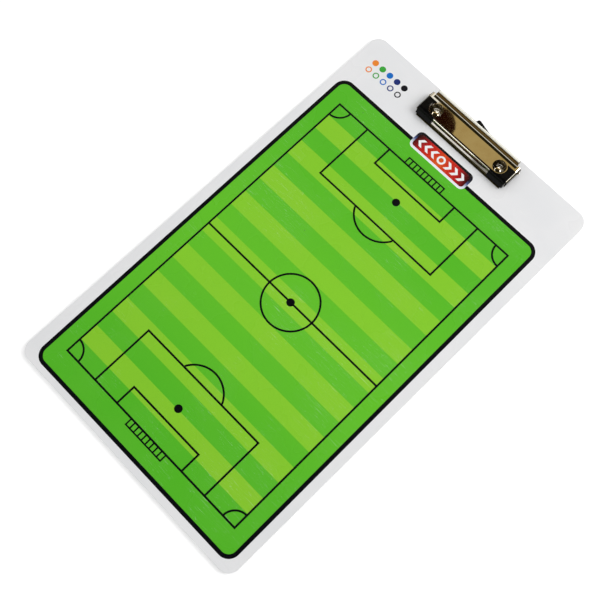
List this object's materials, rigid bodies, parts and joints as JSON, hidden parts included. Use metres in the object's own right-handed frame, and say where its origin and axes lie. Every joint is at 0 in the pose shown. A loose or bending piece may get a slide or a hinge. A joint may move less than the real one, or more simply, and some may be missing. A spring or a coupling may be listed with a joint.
{
  "type": "tactics board",
  "caption": "Flat football tactics board: a laminated panel printed with a pitch, with a sprung paper clip riveted to its head and a swing-out hanging tab.",
  "frame": {"origin": "middle of the panel's back face, which is the face it lies on", "axes": "+X across the panel to the right, +Y along it towards the clip, +Z out of the printed front"},
  "size_m": [0.21, 0.3515, 0.0136],
  "materials": {
    "back_film": "gloss",
    "core_panel": "cut edge",
    "steel_sheet": "plain",
    "front_film": "gloss over print",
    "clip_base": "bright nickel plate",
    "clip_lever": "bright nickel plate",
    "hinge_pin": "bright nickel plate",
    "spring_left": "plain",
    "spring_right": "plain",
    "grip_left": "moulded, satin",
    "grip_right": "moulded, satin",
    "rivet_left": "bright nickel plate",
    "rivet_right": "bright nickel plate",
    "washer_left": "plain",
    "washer_right": "plain",
    "hang_tab": "black, satin",
    "hang_rivet": "bright nickel plate"
  },
  "bodies": {
    "board": {"back_film": "back_film", "core_panel": "core_panel", "steel_sheet": "steel_sheet", "front_film": "front_film", "clip_base": "clip_base", "hinge_pin": "hinge_pin", "spring_left": "spring_left", "spring_right": "spring_right", "rivet_left": "rivet_left", "rivet_right": "rivet_right", "washer_left": "washer_left", "washer_right": "washer_right", "hang_rivet": "hang_rivet"},
    "lever": {"clip_lever": "clip_lever", "grip_left": "grip_left", "grip_right": "grip_right"},
    "tab": {"hang_tab": "hang_tab"}
  },
  "joints": [
    {"name": "jaw_hinge", "type": "hinge", "parent": "board", "child": "lever", "pos_m": [0.002, 0.1645, 0.0064], "axis": [-1, 0, 0], "range_deg": [0, 32], "stiffness_Nm_per_rad": 0.2, "springref_deg": -34.38, "deforming": ["spring_left", "spring_right"]},
    {"name": "tab_swing", "type": "hinge", "parent": "board", "child": "tab", "pos_m": [0.0095, 0.1691, 0.00435], "axis": [0, 0, -1], "range_deg": [-14, 76]}
  ]
}
